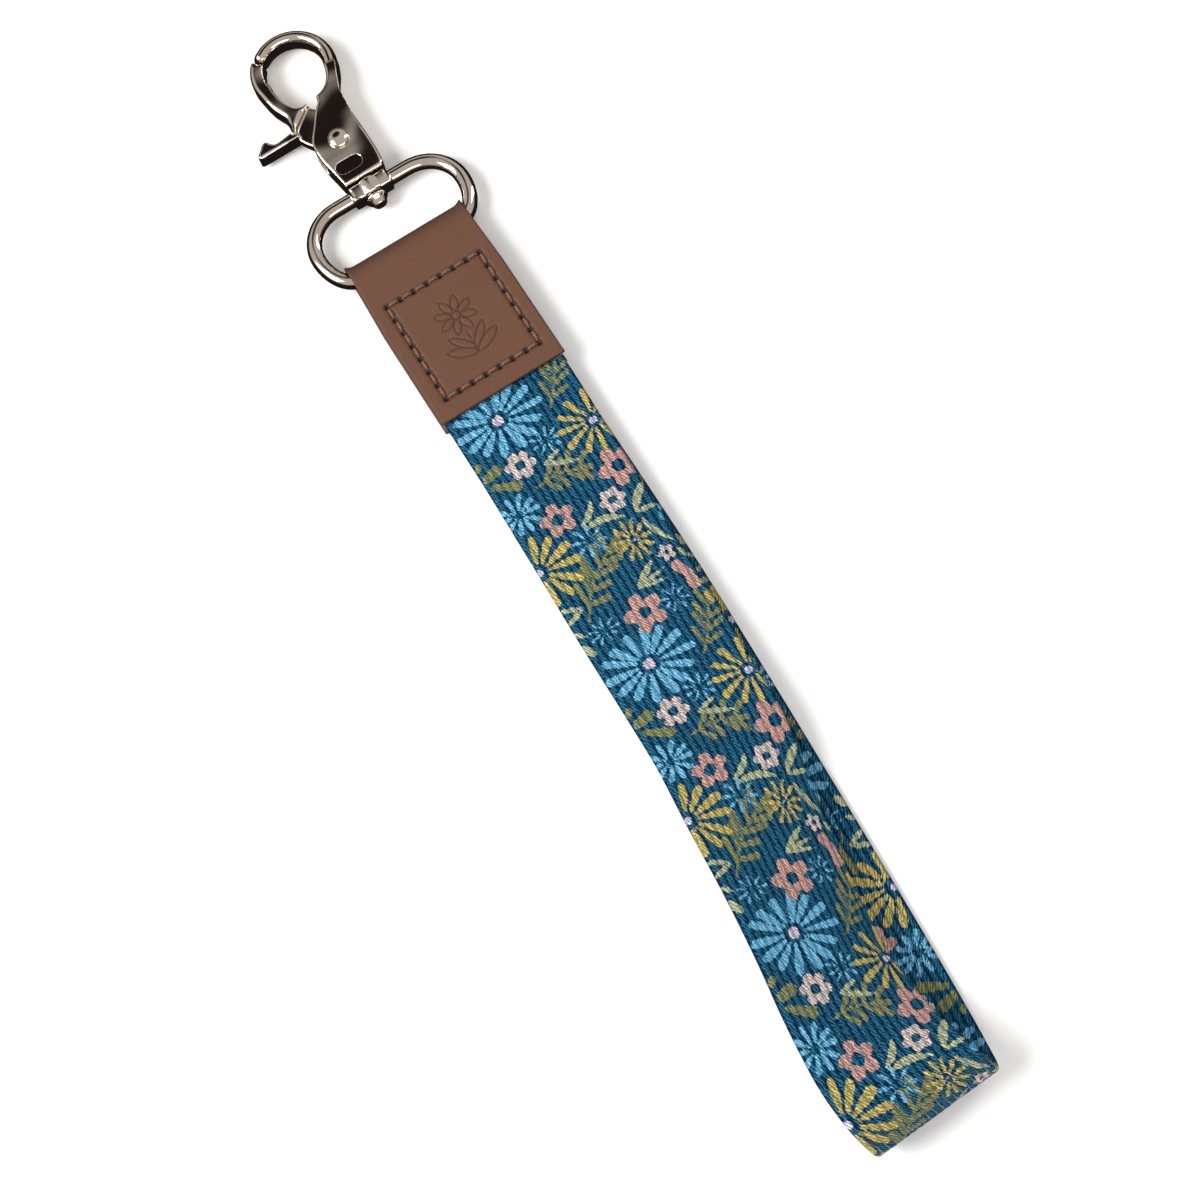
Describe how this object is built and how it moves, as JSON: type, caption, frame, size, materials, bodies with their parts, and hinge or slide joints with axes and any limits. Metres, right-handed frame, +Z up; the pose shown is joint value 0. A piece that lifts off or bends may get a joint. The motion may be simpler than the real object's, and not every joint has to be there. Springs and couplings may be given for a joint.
{
  "type": "wristlet keychain",
  "caption": "Printed webbing wrist loop sewn into a folded leather tab, with an oval swivel ring and a sprung trigger hook.",
  "frame": {"origin": "centre of the leather tab's back face, which lies on the floor plane", "axes": "+X across the strap to the right, +Y along it from the loop towards the hook, +Z up out of the front face"},
  "size_m": [0.039, 0.2425, 0.0206],
  "materials": {
    "printed_webbing": "ribbed woven polyester, dye-sublimation floral print",
    "brown_leather": "smooth matt brown with a debossed motif",
    "copper_thread": "twisted bonded thread",
    "light_gold_plate": "polished light gold plating on zinc alloy",
    "spring_steel": "drawn wire"
  },
  "bodies": {
    "strap": {"webbing_strap": "printed_webbing", "leather_tab": "brown_leather", "needle_thread": "copper_thread", "bobbin_thread": "copper_thread"},
    "ring": {"oval_ring": "light_gold_plate"},
    "hook": {"hook_body": "light_gold_plate", "swivel_pin": "light_gold_plate", "pivot_rivet": "light_gold_plate", "gate_spring": "spring_steel"},
    "gate": {"trigger_gate": "light_gold_plate"}
  },
  "joints": [
    {"name": "ring_swing", "type": "hinge", "parent": "strap", "child": "ring", "pos_m": [0, 0.0161, 0.00285], "axis": [1, 0, 0], "range_deg": [-135, 135]},
    {"name": "hook_swivel", "type": "hinge", "parent": "ring", "child": "hook", "pos_m": [0, 0.03128, 0.00285], "axis": [0, 1, 0], "continuous": true},
    {"name": "gate_trigger", "type": "hinge", "parent": "hook", "child": "gate", "pos_m": [-0.00015, 0.0427, 0.00285], "axis": [0, 0, 1], "range_deg": [0, 28], "stiffness_Nm_per_rad": 0.01, "springref_deg": -34.38}
  ]
}
